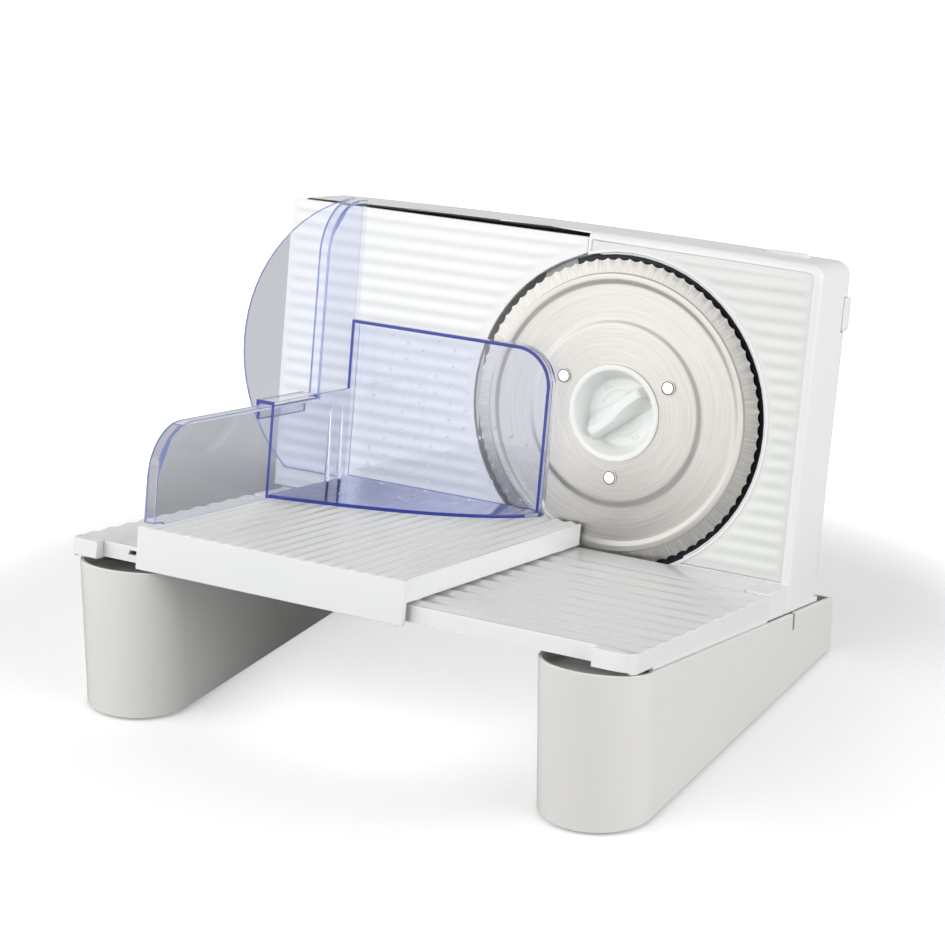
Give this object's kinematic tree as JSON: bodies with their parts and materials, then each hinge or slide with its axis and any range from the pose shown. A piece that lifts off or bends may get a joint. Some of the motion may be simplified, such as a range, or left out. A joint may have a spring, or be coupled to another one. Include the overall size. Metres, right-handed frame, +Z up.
{
  "type": "electric food slicer",
  "caption": "Tilted electric food slicer with a round scalloped blade, sliding carriage, clear food holder and fence, adjustable stop plate and hollow legs.",
  "frame": {"origin": "under the middle of the slicer's box, on the worktop under its feet", "axes": "+X to the right along the blade as the user sees it, +Y to the rear, +Z up"},
  "size_m": [0.3548, 0.2866, 0.2347],
  "materials": {
    "white_plastic": "warm white, smooth gloss",
    "clear_blue_plastic": "clear with a blue tint at the edges",
    "blade_steel": "turned and brushed",
    "steel": "bright",
    "dark_plastic": "matte",
    "natural_acetal": "natural, matte",
    "brass": "turned",
    "zinc_steel": "zinc plated",
    "rubber": "matte"
  },
  "bodies": {
    "frame": {"motor_housing": "white_plastic", "front_panel": "white_plastic", "rear_cover": "white_plastic", "post_cover": "white_plastic", "cord_gland": "dark_plastic", "guide_bush_upper": "natural_acetal", "guide_bush_lower": "natural_acetal", "blade_spindle": "steel", "drive_plate": "zinc_steel", "motor": "zinc_steel", "worm_bearing": "brass", "motor_bracket": "zinc_steel", "power_spring": "steel", "power_switch": "dark_plastic", "safety_spring": "steel", "safety_switch": "dark_plastic", "base_plate": "white_plastic", "hinge_pin_right": "steel", "hinge_pin_left": "steel", "cover_screw_1": "zinc_steel", "cover_screw_2": "zinc_steel", "cover_screw_3": "zinc_steel", "cover_screw_4": "zinc_steel", "post_screw_1": "zinc_steel", "post_screw_2": "zinc_steel", "drive_screw_1": "zinc_steel", "drive_screw_2": "zinc_steel", "drive_screw_3": "zinc_steel", "drive_screw_4": "zinc_steel", "leg_screw_left_front": "zinc_steel", "leg_screw_left_rear": "zinc_steel", "leg_screw_right_front": "zinc_steel", "leg_screw_right_rear": "zinc_steel", "leg_left": "white_plastic", "foot_left_front": "rubber", "foot_left_rear": "rubber", "leg_right": "white_plastic", "foot_right_front": "rubber", "foot_right_rear": "rubber"},
    "carriage": {"carriage": "white_plastic", "fence": "clear_blue_plastic"},
    "holder": {"food_holder": "clear_blue_plastic"},
    "stop": {"stop_plate": "white_plastic", "stop_guide_rod_upper": "steel", "stop_guide_rod_lower": "steel"},
    "dial": {"thickness_dial": "white_plastic", "dial_cam": "natural_acetal"},
    "blade": {"blade": "blade_steel", "blade_gear": "natural_acetal", "spindle_bush": "brass", "blade_rivet_1": "steel", "blade_rivet_2": "steel", "blade_rivet_3": "steel"},
    "lock_knob": {"blade_lock_knob": "white_plastic"},
    "worm": {"worm": "brass", "motor_shaft": "steel"},
    "power": {"power_button": "white_plastic"},
    "safety": {"safety_button": "white_plastic"}
  },
  "joints": [
    {"name": "carriage_slide", "type": "slide", "parent": "frame", "child": "carriage", "axis": [1, 0, 0], "range_m": [-0.024, 0.1]},
    {"name": "holder_feed", "type": "slide", "parent": "carriage", "child": "holder", "axis": [0, -0.9842, 0.1771], "range_m": [0, 0.075]},
    {"name": "thickness_turn", "type": "hinge", "parent": "frame", "child": "dial", "pos_m": [-0.1311, 0.12945, 0.1341], "axis": [0, 0.9842, -0.1771], "range_deg": [0, 270]},
    {"name": "stop_slide", "type": "slide", "parent": "frame", "child": "stop", "axis": [0, 0.9842, -0.1771], "range_m": [0, 0.015]},
    {"name": "blade_spin", "type": "hinge", "parent": "frame", "child": "blade", "pos_m": [0.0629, 0.08866, 0.13331], "axis": [0, 0.9842, -0.1771], "continuous": true},
    {"name": "worm_spin", "type": "hinge", "parent": "frame", "child": "worm", "pos_m": [0.1119, 0.10343, 0.13066], "axis": [0, 0.1771, 0.9842], "continuous": true},
    {"name": "blade_lock_turn", "type": "hinge", "parent": "blade", "child": "lock_knob", "pos_m": [0.0629, 0.08374, 0.1342], "axis": [0, 0.9842, -0.1771], "range_deg": [0, 90]},
    {"name": "power_press", "type": "slide", "parent": "frame", "child": "power", "axis": [0, -0.1771, -0.9842], "range_m": [0, 0.002], "stiffness_N_per_m": 600, "springref_m": -0.002, "deforming": ["power_spring"]},
    {"name": "safety_press", "type": "slide", "parent": "frame", "child": "safety", "axis": [-1, 0, 0], "range_m": [0, 0.0025], "stiffness_N_per_m": 400, "springref_m": -0.002, "deforming": ["safety_spring"]}
  ],
  "couplings": [
    {"joint": "thickness_turn", "follows": "stop_slide", "rad_per_m": 314.16},
    {"joint": "worm_spin", "follows": "blade_spin", "ratio": 36}
  ]
}
